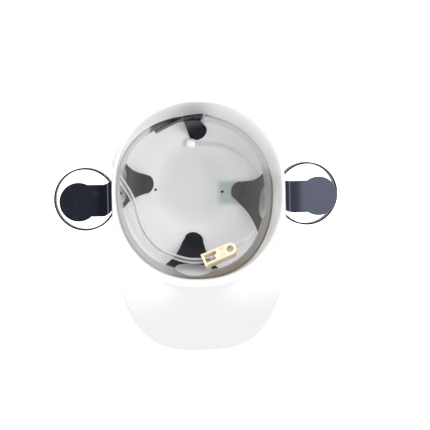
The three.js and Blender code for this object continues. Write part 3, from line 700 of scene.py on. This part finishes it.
def arm_line(bend_steps=10, arm_steps=8):
    """The strap's side view above the crown: (x, height, width, how far it is turned out)."""
    half = DISC_THICKNESS / 2
    arm = Vector((DISC_X - half * sin(HOLDER_LEAN), DISC_LEVEL - half * cos(HOLDER_LEAN)))
    wall_x = DOME_HALF_WIDTH + STRAP_LIFT
    past_lip = lip_x(HOLDER_Y) + STRAP_LIFT + GAP
    climb = atan2(past_lip - wall_x, LIP_HEIGHT - DOME_TOP)
    bend_z = arm.y + (DISC_X - past_lip) * tan(HOLDER_LEAN) - BEND_RADIUS * BEND_RAISED
    line = [
        (between(wall_x, past_lip, CLIMB_OUT * t), between(DOME_TOP, bend_z, CLIMB_UP * t),
         STRAP_WIDTH, 0)
        for t in (0.5, 1)
    ]
    middle = Vector((past_lip + BEND_RADIUS * cos(climb), bend_z - BEND_RADIUS * sin(climb)))
    for k in range(bend_steps + 1):
        share = k / bend_steps
        turn = pi - climb - (pi / 2 + HOLDER_LEAN - climb) * k / bend_steps
        point = middle + BEND_RADIUS * Vector((cos(turn), sin(turn)))
        line.append((*point, between(STRAP_WIDTH, ARM_WIDTH, share), share))
    last = Vector(line[-1][:2])
    for k in range(1, arm_steps + 1):
        line.append((*last.lerp(arm, k / arm_steps), ARM_WIDTH, 1))
    return line


arm_points = arm_line()

# %% The strap along the crown
STRAP_STEPS = 36


def strap_point(side, across, down_the_strap):
    """A point of the strap: first up the crown, then over the lip and along the arm."""
    row = round(down_the_strap * (STRAP_STEPS + len(arm_points)))
    if row <= STRAP_STEPS:
        end_down = atan2(DOME_TOP - crown_height(STRAP_END_X), STRAP_END_X)
        share = row / STRAP_STEPS
        width = between(STRAP_END_WIDTH, STRAP_WIDTH, min(1, 2 * share))
        point = crown_hit(side, STRAP_Y[side] + (across - 0.5) * width, end_down * (1 - share))
        return point + crown_normal(point) * STRAP_LIFT
    x, height, width, turned = arm_points[row - STRAP_STEPS - 1]
    y = between(STRAP_Y[side], ARM_Y[side], turned) + (across - 0.5) * width
    sag = (lip_x(y) - lip_x(HOLDER_Y)) * (1 - turned)
    return Vector((side * (x + sag), y, height))


# %% Join the disc, the ring and the pegs
DISC_RIM = [(-0.6, -2.5), (-0.2, -2.3), (0, -1.9), (0, -1), (-0.25, -0.4), (-0.8, -0.08), (-1.6, 0)]
RING_EDGE = 0.4
DISC_STEPS, RING_STEPS = 96, 128
STRAP_COLUMNS, STRAP_EDGE = 12, 0.5
PEG_ROOT = 1.3


def holder_place(side, x, height):
    lean = Matrix.Rotation(side * HOLDER_LEAN, 4, "Y")
    return Matrix.Translation((side * x, HOLDER_Y, height)) @ lean


def ring_profile():
    """The ring's section: a tall narrow box with its four corners cut off."""
    half = RING_HEIGHT / 2
    low, outer = RING_EDGE - half, RING_WALL - RING_EDGE
    section = [
        (0, low), (RING_EDGE, -half), (outer, -half), (RING_WALL, low),
        (RING_WALL, -low), (outer, half), (RING_EDGE, half), (0, -low), (0, low),
    ]
    return [(RING_BORE / 2 + x, z) for x, z in section]


def holder_form(side):
    strap = moulded_sheet(
        STRAP_COLUMNS, STRAP_STEPS + len(arm_points),
        lambda across, down: strap_point(side, across, down), STRAP_THICKNESS, STRAP_EDGE,
    )
    rim = [(DISC_DIAMETER / 2 + x, z) for x, z in DISC_RIM]
    disc = spun([(0, -DISC_THICKNESS), *rim, (0, 0)], DISC_STEPS)
    ring = spun(ring_profile(), RING_STEPS)
    tools = [
        (JOIN, moved(disc, holder_place(side, DISC_X, DISC_LEVEL))),
        (JOIN, moved(ring, holder_place(side, RING_X, RING_LEVEL))),
    ]
    for point, out in peg_lines(side):
        start, end = point + out * PEG_ROOT, point - out * PEG_DEPTH
        tools.append((JOIN, round_bar(start, end, PEG_DIAMETER / 2, PEG_SIDES)))
    return strap, tools


holder_left = carved(*holder_form(-1), "holder_left")
holder_right = carved(*holder_form(1), "holder_right")

# %% [markdown]
# ## The clamp on the hose
# A small lever clamp of cream plastic: an open frame with one round end, and a lid with
# ribs in a cross that presses the hose shut. A plate with a round end is drawn once, at
# several heights and insets, for its outside and for its chamber. The finger hole and the
# large cell go right through, and shallow cells leave the ribs standing between them.

# %% The clamp's sizes
CLAMP_LENGTH, CLAMP_WIDTH, CLAMP_HEIGHT = 40, 14.5, 12.5
CLAMP_WALL, CLAMP_FLOOR, CLAMP_LID = 1.5, 1.3, 2
CLAMP_EDGE = 0.5
CLAMP_HOLE_RADIUS = 4
CLAMP_RECESS = 1.5
CLAMP_DISTANCE, CLAMP_HALF_SPAN = 228, 12.8
CLAMP_TWIST, CLAMP_ROLL = radians(0.9), radians(-25)
FLAP_SIZE = (3.4, CLAMP_WIDTH + 1, 4.5)
FLAP_OUT, FLAP_ASIDE, FLAP_DOWN, FLAP_EDGE = 1.1, -0.5, 1.6, 0.7
CHANNEL_HEIGHT, CHANNEL_LEVEL = 8.8, -0.3
CLAMP_HALF = CLAMP_WIDTH / 2
CLAMP_TOP = CLAMP_HEIGHT / 2
ROUND_MIDDLE = CLAMP_LENGTH / 2 - CLAMP_HALF
CELL = [(-17.5, -5), (-6, -5), (-6, 0), (-3.5, 1.5), (-3.5, 5), (-17.5, 5)]
SHALLOW_CELLS = [
    [(1.5, 5), (4, 1.6), (6.5, 5)],
    [(-1.5, -5), (6.5, -5), (2.5, -0.6)],
]
PAST = 1
HOLE_SIDES = 40


# %% A plate with the clamp's outline
def plate(outline, low, high, edge=0):
    """A plate with a drawn outline, between two heights."""
    form = bmesh.new()
    bottom = form.faces.new([form.verts.new((x, y, low)) for x, y in outline])
    raised(form, [bottom], high - low)
    return round_edges(tidy(form), edge, 3)


def clamp_outline(inset, steps=24):
    half = CLAMP_HALF - inset
    flat_end = inset - CLAMP_LENGTH / 2
    turns = [pi * (k / steps - 0.5) for k in range(steps + 1)]
    arc = [(ROUND_MIDDLE + half * cos(t), half * sin(t)) for t in turns]
    return [(flat_end, -half), *arc, (flat_end, half)]


# %% Where the clamp sits
def along_hose(distance):
    """The point of the hose's line at a distance from its outer end."""
    for a, b in zip(hose_line, hose_line[1:]):
        step = (b - a).length
        if distance < step:
            return a.lerp(b, distance / step)
        distance -= step


def clamp_place():
    """Where the clamp sits: on the hose, turned to the hose's chord and rolled."""
    back = along_hose(CLAMP_DISTANCE - CLAMP_HALF_SPAN)
    chord = along_hose(CLAMP_DISTANCE + CLAMP_HALF_SPAN) - back
    turn = Matrix.Rotation(atan2(chord.y, chord.x) + CLAMP_TWIST, 4, "Z")
    roll = Matrix.Rotation(CLAMP_ROLL, 4, "X")
    return Matrix.Translation(back + chord / 2) @ turn @ roll


# %% Cut the clamp, and set it on the hose
clamp_body = plate(clamp_outline(0), -CLAMP_TOP, CLAMP_TOP, CLAMP_EDGE)
turns = [2 * pi * k / HOLE_SIDES for k in range(HOLE_SIDES)]
finger_hole = [
    (ROUND_MIDDLE + CLAMP_HOLE_RADIUS * cos(t), CLAMP_HOLE_RADIUS * sin(t)) for t in turns
]
flap_middle = (FLAP_OUT - CLAMP_LENGTH / 2, FLAP_ASIDE, CLAMP_TOP - FLAP_DOWN)
chamber_outline = clamp_outline(CLAMP_WALL)
# A channel as wide as the chamber would share its side faces, which leaves open edges.
channel_size = (2 * CLAMP_LENGTH, CLAMP_WIDTH - 2.1 * CLAMP_WALL, CHANNEL_HEIGHT)
clamp_tools = [
    (JOIN, box(FLAP_SIZE, flap_middle, FLAP_EDGE)),
    (CUT, plate(chamber_outline, CLAMP_FLOOR - CLAMP_TOP, CLAMP_TOP - CLAMP_LID)),
    (CUT, box(channel_size, (0, 0, CHANNEL_LEVEL))),
]
below, recess = -CLAMP_TOP - PAST, CLAMP_TOP - CLAMP_RECESS
openings = [(finger_hole, below), (CELL, below), *((cell, recess) for cell in SHALLOW_CELLS)]
for outline, low in openings:
    clamp_tools.append((CUT, plate(outline, low, CLAMP_TOP + PAST)))
placed = clamp_place()
for form in [clamp_body, *(form for _, form in clamp_tools)]:
    moved(form, placed)
clamp = carved(clamp_body, clamp_tools, "hose_clamp")

# %% [markdown]
# ## The mouthpiece
# A short white sleeve on the hose's end. A profile is spun once round, as on a lathe, and the
# form is then laid in line with the hose.

# %% Spin the mouthpiece
SLEEVE_PROFILE = [
    (0, 0), (3.2, 0), (3.9, 0.25), (4.5, 0.8), (4.95, 1.7), (5.2, 2.8), (5.3, 4), (5.3, 5.4),
    (5.15, 6.8), (4.8, 8), (4.2, 9), (3.4, 9.75), (2.4, 10.25), (1.2, 10.47), (0, 10.5),
]
sleeve = spun(SLEEVE_PROFILE)
last_heading = (hose_line[-1] - hose_line[-2]).normalized()
turn = Vector((0, 0, 1)).rotation_difference(last_heading).to_matrix().to_4x4()
seat = Matrix.Translation(hose_line[-1] + last_heading * GAP)
mouthpiece = hat_object(moved(sleeve, seat @ turn), "bite_mouthpiece")
print("mouthpiece faces:", len(mouthpiece.data.polygons))

# %% [markdown]
# ## Which piece stands for which solid
# Every piece is part of the one body and takes the place of its CAD solid. The hose's
# points are also kept as a path in metres.

STAND_FOR = [
    (shell, "shell", "shell_white"), (headband, "headband", "band_black"),
    (holder_left, "can_holder_left", "holder_navy"),
    (holder_right, "can_holder_right", "holder_navy"),
    (hose, "drinking_tube", "tube_clear"), (mouthpiece, "mouthpiece", "mouthpiece_white"),
    (clamp, "tube_clamp", "clamp_cream"),
]
for piece, node, slot in STAND_FOR:
    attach(piece, "root")
    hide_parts(node)
hose_path = [tuple(point * MM) for point in hose_line]

# %% [markdown]
# ## Writing a finish
# All the pieces are moulded or drawn plastic, so their finishes differ in colour, gloss and
# wear. Each is a node material. A small class holds one socket, so that sums, soft steps and
# blends of colours can be written as plain Python. One method makes every other node.

# %% A socket that can be used in sums
class Wire:
    """An output socket. What is done with it adds nodes to its finish."""

    def __init__(self, finish, socket):
        self.finish = finish
        self.socket = socket

    def worked(self, operation, *values):
        made = dict(enumerate(values))
        return self.finish.node("ShaderNodeMath", {"operation": operation}, made)

    def __add__(self, other):
        return self.worked("ADD", self, other)

    def __sub__(self, other):
        return self.worked("SUBTRACT", self, other)

    def __rsub__(self, other):
        return self.worked("SUBTRACT", other, self)

    def __mul__(self, other):
        return self.worked("MULTIPLY", self, other)

    def __pow__(self, other):
        return self.worked("POWER", self, other)

    def __abs__(self):
        return self.worked("ABSOLUTE", self)

    __radd__ = __add__
    __rmul__ = __mul__

    def ramp(self, low, high):
        """0 below one value, 1 above another, with a soft change between them."""
        return self.finish.node(
            "ShaderNodeMapRange", {"interpolation_type": "SMOOTHSTEP"},
            {"Value": self, "From Min": low, "From Max": high},
        )

    def blend(self, low, high):
        """A colour between two colours, this wire being the share of the second one."""
        inputs = {0: self, 6: low, 7: high}
        return self.finish.node("ShaderNodeMix", {"data_type": "RGBA"}, inputs, output=2)


# %% A finish: a material and the ways to add to it
class Finish:
    def __init__(self, name):
        self.material = bpy.data.materials.new(name)
        self.material.use_nodes = True
        self.tree = self.material.node_tree
        self.tree.nodes.clear()
        place = self.node("ShaderNodeTexCoord", output="Object")
        self.place = self.node(
            "ShaderNodeVectorMath", {"operation": "SCALE"}, {0: place, "Scale": 1 / MM}
        )
        split = self.node("ShaderNodeSeparateXYZ", {}, {0: self.place}).socket.node
        self.axes = [Wire(self, split.outputs[k]) for k in range(3)]

    def node(self, kind, settings=None, inputs=None, output=0):
        """Makes a node: its settings first, then the values or links of its sockets."""
        made = self.tree.nodes.new(kind)
        for name, value in (settings or {}).items():
            setattr(made, name, value)
        for name, value in (inputs or {}).items():
            socket = made.inputs[name]
            if isinstance(value, Wire):
                self.tree.links.new(value.socket, socket)
            else:
                socket.default_value = value
        return Wire(self, made.outputs[output])

    def noise(self, size, detail=2, stretch=(1, 1, 1)):
        """A noise from 0 to 1 whose patches are about a size in millimetres."""
        spots = self.node(
            "ShaderNodeVectorMath", {"operation": "MULTIPLY"},
            {0: self.place, 1: tuple(1 / (size * s) for s in stretch)},
        )
        return self.node("ShaderNodeTexNoise", {}, {"Vector": spots, "Scale": 1, "Detail": detail})

    def relief(self, height, depth):
        """A bump whose height from 0 to 1 stands for a depth in millimetres."""
        return self.node("ShaderNodeBump", {}, {"Height": height, "Distance": depth * MM})

    def plastic(self, values, sheen=None, sheen_values=None):
        """Closes the finish with a shader, under a share of plain gloss if there is one."""
        shader = self.node("ShaderNodeBsdfPrincipled", {}, values)
        if sheen:
            gloss = self.node("ShaderNodeBsdfGlossy", {}, sheen_values)
            shader = self.node("ShaderNodeMixShader", {}, {0: sheen, 1: shader, 2: gloss})
        end = self.tree.nodes.new("ShaderNodeOutputMaterial")
        self.tree.links.new(shader.socket, end.inputs["Surface"])
        return self.material


def coat(piece, material):
    piece.data.materials.clear()
    piece.data.materials.append(material)
    print(piece.name, "wears", material.name)


# %% [markdown]
# ## The shell's white
# The real moulding is glossy white and a little translucent. The inner skin is painted
# lighter than the outer skin, as painted light on the inside, and darker at the bottom and a
# little on the right, as painted shade. Where a holder's strap lies behind the wall, the
# strap's shadow through the wall is painted on the inner skin as a dim green patch, strong
# on the right and faint on the left. The inner skin is found from the normal, which points
# towards the middle there. Light that passes the thin wall is drawn as a faint glow of that
# skin, stronger near the lip and at both sides of the rear, because real light through it
# would need far more samples.

# %% White plastic
SKIN_GREYS = (0.66, 0.663, 0.675, 1), (0.68, 0.682, 0.694, 1)
HOLLOW_LIT_GREYS = (0.76, 0.77, 0.765, 1), (0.785, 0.795, 0.79, 1)
DEEP_SHADE_GREY, STRAP_SHADOW_GREEN = (0.62, 0.63, 0.625, 1), (0.36, 0.43, 0.42, 1)
NO_GLOW, WALL_GLOW = (0, 0, 0, 1), (0.5, 0.5, 0.505, 1)
LIP_FADE, PEAK_FADE = (LIP_HEIGHT - 20, LIP_HEIGHT + 6), (-150, -60)
STRAP_SIDE, STRAP_FROM, STRAP_TO = (9, STRAP_WIDTH / 2), (24, 33), (46, 66)
DEEP_SHADE_BELOW, GLOW_RISE = (2, 14), (20, 110)


def shell_white():
    finish = Finish("shell_white")
    x, y, z = finish.axes
    facing = finish.node("ShaderNodeTexCoord", output="Normal")
    from_middle = finish.node(
        "ShaderNodeVectorMath", {"operation": "SUBTRACT"}, {0: finish.place, 1: (0, 0, DOME_TOP)}
    )
    outwards = finish.node(
        "ShaderNodeVectorMath", {"operation": "DOT_PRODUCT"}, {0: facing, 1: from_middle}, "Value"
    )
    below_lip = 1 - z.ramp(*LIP_FADE)
    turned_in = 1 - outwards.ramp(-4, 4)
    inside = turned_in * below_lip
    # Painted shadow of a strap behind the wall, strong on the right and faint on the left.
    strap = 1 - abs(y - HOLDER_Y).ramp(*STRAP_SIDE)
    strap = strap * abs(x).ramp(*STRAP_FROM) * (1 - abs(x).ramp(*STRAP_TO))
    strap_shadow = strap * inside * (0.08 + 0.77 * x.ramp(-30, 30))
    clouds = finish.noise(60, 3)
    skin = clouds.blend(*SKIN_GREYS)
    # The inner skin is painted lighter than the outer skin as painted light, and darker at the
    # bottom and a little on the right as painted shade.
    hollow = clouds.blend(*HOLLOW_LIT_GREYS)
    deep_shade = (1 - z.ramp(*DEEP_SHADE_BELOW)) * 0.9 + 0.1 * x.ramp(0, 60)
    hollow = deep_shade.blend(hollow, DEEP_SHADE_GREY)
    colour = strap_shadow.blend(inside.blend(skin, hollow), STRAP_SHADOW_GREEN)
    lit = z.ramp(*GLOW_RISE) * turned_in
    rear_sides = y.ramp(25, 75) * abs(x).ramp(10, 50)
    lit = lit * y.ramp(*PEAK_FADE) * (0.72 + 0.28 * rear_sides)
    wear = finish.noise(9, 4)
    peel = finish.noise(2.5, 2)
    return finish.plastic({
        "Base Color": colour, "Roughness": 0.2 + 0.1 * wear + 0.14 * inside,
        "Normal": finish.relief(peel, 0.012), "IOR": 1.5, "Specular IOR Level": 0.35,
        "Emission Color": lit.blend(NO_GLOW, WALL_GLOW), "Emission Strength": 1.0,
    })


coat(shell, shell_white())

# %% [markdown]
# ## The black band
# The band is stamped from smooth black sheet. It shines where the eye grazes it, while the
# tips of the tabs have a finer, duller grain. Faint scratches run along the strip. In the
# lit hat the strip mirrors the white wall around it, so it looks nearly white at the left
# and the rear, and a warm grey near the clamp. A gloss layer, mixed in by angle and by
# place, draws the white mirror image without depending on the lamps. The warm grey is a
# painted reflection in the strip's colour, and the two side tabs are painted grey as a
# painted sheen, lighter at their roots than at their tips and lighter on the right.

# %% Black sheet
TAB_SHEEN_GREY, TIP_SHEEN_GREY = (0.085, 0.081, 0.079, 1), (0.068, 0.067, 0.069, 1)
RIGHT_TAB_SHEEN_GREY, WARM_REFLECTION_GREY = (0.2, 0.195, 0.19, 1), (0.15, 0.124, 0.096, 1)
STRIP_BLACK, DUST_GREY = (0.02, 0.021, 0.027, 1), (0.05, 0.05, 0.052, 1)
MIRRORED_WALL = (0.98, 0.97, 1, 1)
STRIP_FROM, REAR_FROM = (BAND_FOOT - 4, BAND_FOOT + 1), (50, 60)
ROOT_LEFT, ROOT_HALF = 4, (10.5, 12.5)
TAIL_LEFT, TAIL_HALF = 30, (20, 24)
WARM_FROM, WARM_UP_TO = (-45, -5), (8, 30)


def band_black():
    finish = Finish("band_black")
    x, y, z = finish.axes
    facing = finish.node("ShaderNodeLayerWeight", {}, {"Blend": 0.5}, "Facing")
    reach = (x ** 2 + y ** 2) ** 0.5
    tip = 1 - reach.ramp(62, 76)
    strip = z.ramp(*STRIP_FROM)
    rear = y.ramp(*REAR_FROM)
    root = rear * (1 - abs(x + ROOT_LEFT).ramp(*ROOT_HALF))
    tail = rear * (1 - abs(x + TAIL_LEFT).ramp(*TAIL_HALF)) * (1 - root)
    warm = x.ramp(*WARM_FROM) * (1 - y.ramp(*WARM_UP_TO))
    pale = strip * (1 - warm) * (1 - root) * (1 - tail)
    grain = finish.noise(0.6, 3)
    scratches = finish.noise(1.2, 3, (12, 12, 1))
    dust = finish.noise(5, 4).ramp(0.62, 0.8)
    side = abs(x).ramp(26, 44)
    # Painted sheen: the side tabs are painted grey, lighter at the root than the tip and lighter on
    # the right.
    tabs = tip.blend(TAB_SHEEN_GREY, TIP_SHEEN_GREY)
    tabs = (x.ramp(0, 40) * 0.28).blend(tabs, RIGHT_TAB_SHEEN_GREY)
    plain = side.blend(STRIP_BLACK, tabs)
    # Painted reflection: the strip is painted warm grey near the clamp.
    plain = (strip * warm).blend(plain, WARM_REFLECTION_GREY)
    colour = (dust * 0.3).blend(plain, DUST_GREY)
    relief = finish.relief(grain * tip + scratches, 0.01)
    edge_on = facing.ramp(0.4, 0.9)
    gloss_share = 0.62 * warm * strip + 0.1 * tail + 0.03 * side
    sheen = edge_on * gloss_share * (1 - pale) + pale * (0.5 + 0.48 * edge_on)
    sheen = sheen * (0.94 + 0.06 * scratches)
    values = {
        "Base Color": colour, "Roughness": 0.24 + 0.08 * scratches + 0.22 * tip,
        "Normal": relief, "Specular IOR Level": 0.15, "IOR": 1.2,
    }
    gloss = {"Color": MIRRORED_WALL, "Roughness": 0.3, "Normal": relief}
    return finish.plastic(values, sheen, gloss)


coat(headband, band_black())

# %% [markdown]
# ## The navy holders
# The holders are moulded in dark navy plastic with a satin skin. Their flat faces have a
# fine grain and rubbed spots. Above the lip the right holder is painted lighter, most on its
# disc, and the left disc a little, as a painted sheen. A thin pale line across each arm where
# the plastic is bent over the lip is a painted highlight.

# %% Navy plastic
NAVY, SHEEN_NAVY = (0.004, 0.005, 0.011, 1), (0.086, 0.094, 0.134, 1)
RUBBED_NAVY, BEND_HIGHLIGHT_NAVY = (0.06, 0.066, 0.09, 1), (0.3, 0.33, 0.36, 1)
DISC_FROM, TOP_FROM = (108, 120), (80, 95)
BEND_X, BEND_HALF = 102, (0.3, 1.1)


def holder_navy():
    finish = Finish("holder_navy")
    x, _, z = finish.axes
    grain = finish.noise(0.5, 2)
    rubbed = finish.noise(14, 5).ramp(0.55, 0.75)
    disc = abs(x).ramp(*DISC_FROM)
    right = x.ramp(-20, 20)
    # Painted sheen: lighter on the right holder's upper parts, most on its disc, and a little on
    # the left disc.
    light = (0.08 * disc + right * (0.3 + 0.62 * disc)) * z.ramp(*TOP_FROM)
    colour = light.blend(NAVY, SHEEN_NAVY)
    colour = (rubbed * 0.15).blend(colour, RUBBED_NAVY)
    # Painted highlight: a thin pale line across each arm at the bend over the lip.
    bend = 1 - abs(abs(x) - BEND_X).ramp(*BEND_HALF)
    colour = (bend * 0.3).blend(colour, BEND_HIGHLIGHT_NAVY)
    return finish.plastic({
        "Base Color": colour, "Roughness": 0.34 + 0.1 * rubbed + 0.05 * grain,
        "Normal": finish.relief(grain, 0.012), "Specular IOR Level": 0.1,
    })


navy = holder_navy()
coat(holder_left, navy)
coat(holder_right, navy)

# %% [markdown]
# ## The clear hose
# Clear soft vinyl bends the light, so the hose shows as two bright lines with a grey core
# between them, and it nearly vanishes where it lies before the pale crown. The skin is drawn
# part clear: the angle to the eye gives the lines, and the place along the hose says how
# clearly they show. A trace of haze makes the gloss soft.

# %% Clear vinyl
CORE_GREY, LINE_WHITE = (0.3, 0.3, 0.34, 1), (0.96, 0.96, 0.985, 1)
LINE_FROM, LINE_TO = (0.1, 0.2), (0.5, 0.7)


def hose_clear():
    finish = Finish("tube_clear")
    x, y, _ = finish.axes
    haze = finish.noise(12, 3)
    facing = finish.node("ShaderNodeLayerWeight", {}, {"Blend": 0.5}, "Facing")
    line = facing.ramp(*LINE_FROM) * (1 - facing.ramp(*LINE_TO))
    near = 0.25 + 0.75 * (-1 * x - y).ramp(-10, 60)
    colour = line.blend(CORE_GREY, LINE_WHITE)
    return finish.plastic({
        "Base Color": colour, "Roughness": 0.12 + 0.1 * haze,
        "Alpha": (0.17 + 0.25 * line) * near, "Specular IOR Level": 0.8,
    })


coat(hose, hose_clear())

# %% [markdown]
# ## The mouthpiece and the clamp
# The mouthpiece is soft white plastic, and the clamp is cream, slightly uneven in colour, as
# unpainted plastic is near its thin edges.

# %% White sleeve and cream clamp
SLEEVE_WHITES = (0.95, 0.95, 0.95, 1), (0.98, 0.98, 0.98, 1)
CREAMS = (0.95, 0.77, 0.55, 1), (0.97, 0.83, 0.64, 1)


def soft_plastic(name, colours, patches, roughness, grain, depth):
    """A dull, slightly uneven plastic. patches and grain are (size, detail) of a noise."""
    finish = Finish(name)
    clouds = finish.noise(*patches)
    return finish.plastic({
        "Base Color": clouds.blend(*colours), "Roughness": roughness[0] + roughness[1] * clouds,
        "Normal": finish.relief(finish.noise(*grain), depth),
    })


coat(mouthpiece, soft_plastic(
    "mouthpiece_white", SLEEVE_WHITES, patches=(4, 3), roughness=(0.28, 0.1), grain=(0.8, 2),
    depth=0.01,
))
coat(clamp, soft_plastic(
    "clamp_cream", CREAMS, patches=(7, 4), roughness=(0.36, 0.12), grain=(0.7, 3), depth=0.015,
))

# %% [markdown]
# ## Floor and light
# The floor is a plain white sheet that glows a little, so that shadows on it stay faint. The
# light is even and comes from all round, as in a light tent, and three soft lamps shape
# it. They are kept out of the gloss, where they would draw hard white lines along edges.

# %% The floor
FLOOR_HALF = 6000
FLOOR_WHITES = (0.79, 0.79, 0.79, 1), (0.81, 0.81, 0.81, 1)
WHITE = (1, 1, 1, 1)

floor_form = bmesh.new()
bmesh.ops.create_grid(floor_form, x_segments=1, y_segments=1, size=FLOOR_HALF)
floor = hat_object(floor_form, "floor")


def floor_white():
    finish = Finish("floor_white")
    clouds = finish.noise(400, 2)
    return finish.plastic({
        "Base Color": clouds.blend(*FLOOR_WHITES), "Roughness": 0.9,
        "Specular IOR Level": 0.0, "Emission Color": WHITE, "Emission Strength": 1.0,
    })


coat(floor, floor_white())

# %% The tent and the lamps
TENT_STRENGTH = 0.85

world = bpy.data.worlds.new("tent")
world.use_nodes = True
bpy.context.scene.world = world
tent = world.node_tree.nodes["Background"].inputs
tent["Color"].default_value = WHITE
tent["Strength"].default_value = TENT_STRENGTH


def soft_lamp(name, place, aim, size, power):
    """A square lamp, placed in metres, that the gloss doesn't show."""
    light = bpy.data.lights.new(name, "AREA")
    light.size = size
    light.energy = power
    lamp = added(name, light)
    turn = (Vector(aim) - Vector(place)).to_track_quat("-Z", "Y").to_matrix().to_4x4()
    lamp.matrix_world = Matrix.Translation(place) @ turn
    lamp.visible_glossy = False


soft_lamp("lamp_above", place=(0, 0.2, 2.6), aim=(0, 0, 0.1), size=1.6, power=8)
soft_lamp("lamp_rear", place=(0.3, 1.2, 1.6), aim=(0, 0, 0.1), size=1.0, power=4)
soft_lamp("lamp_right", place=(0.93, -0.1, 2), aim=(0.13, -0.01, 0.12), size=0.7, power=14)
bpy.context.scene.view_settings.view_transform = "Standard"
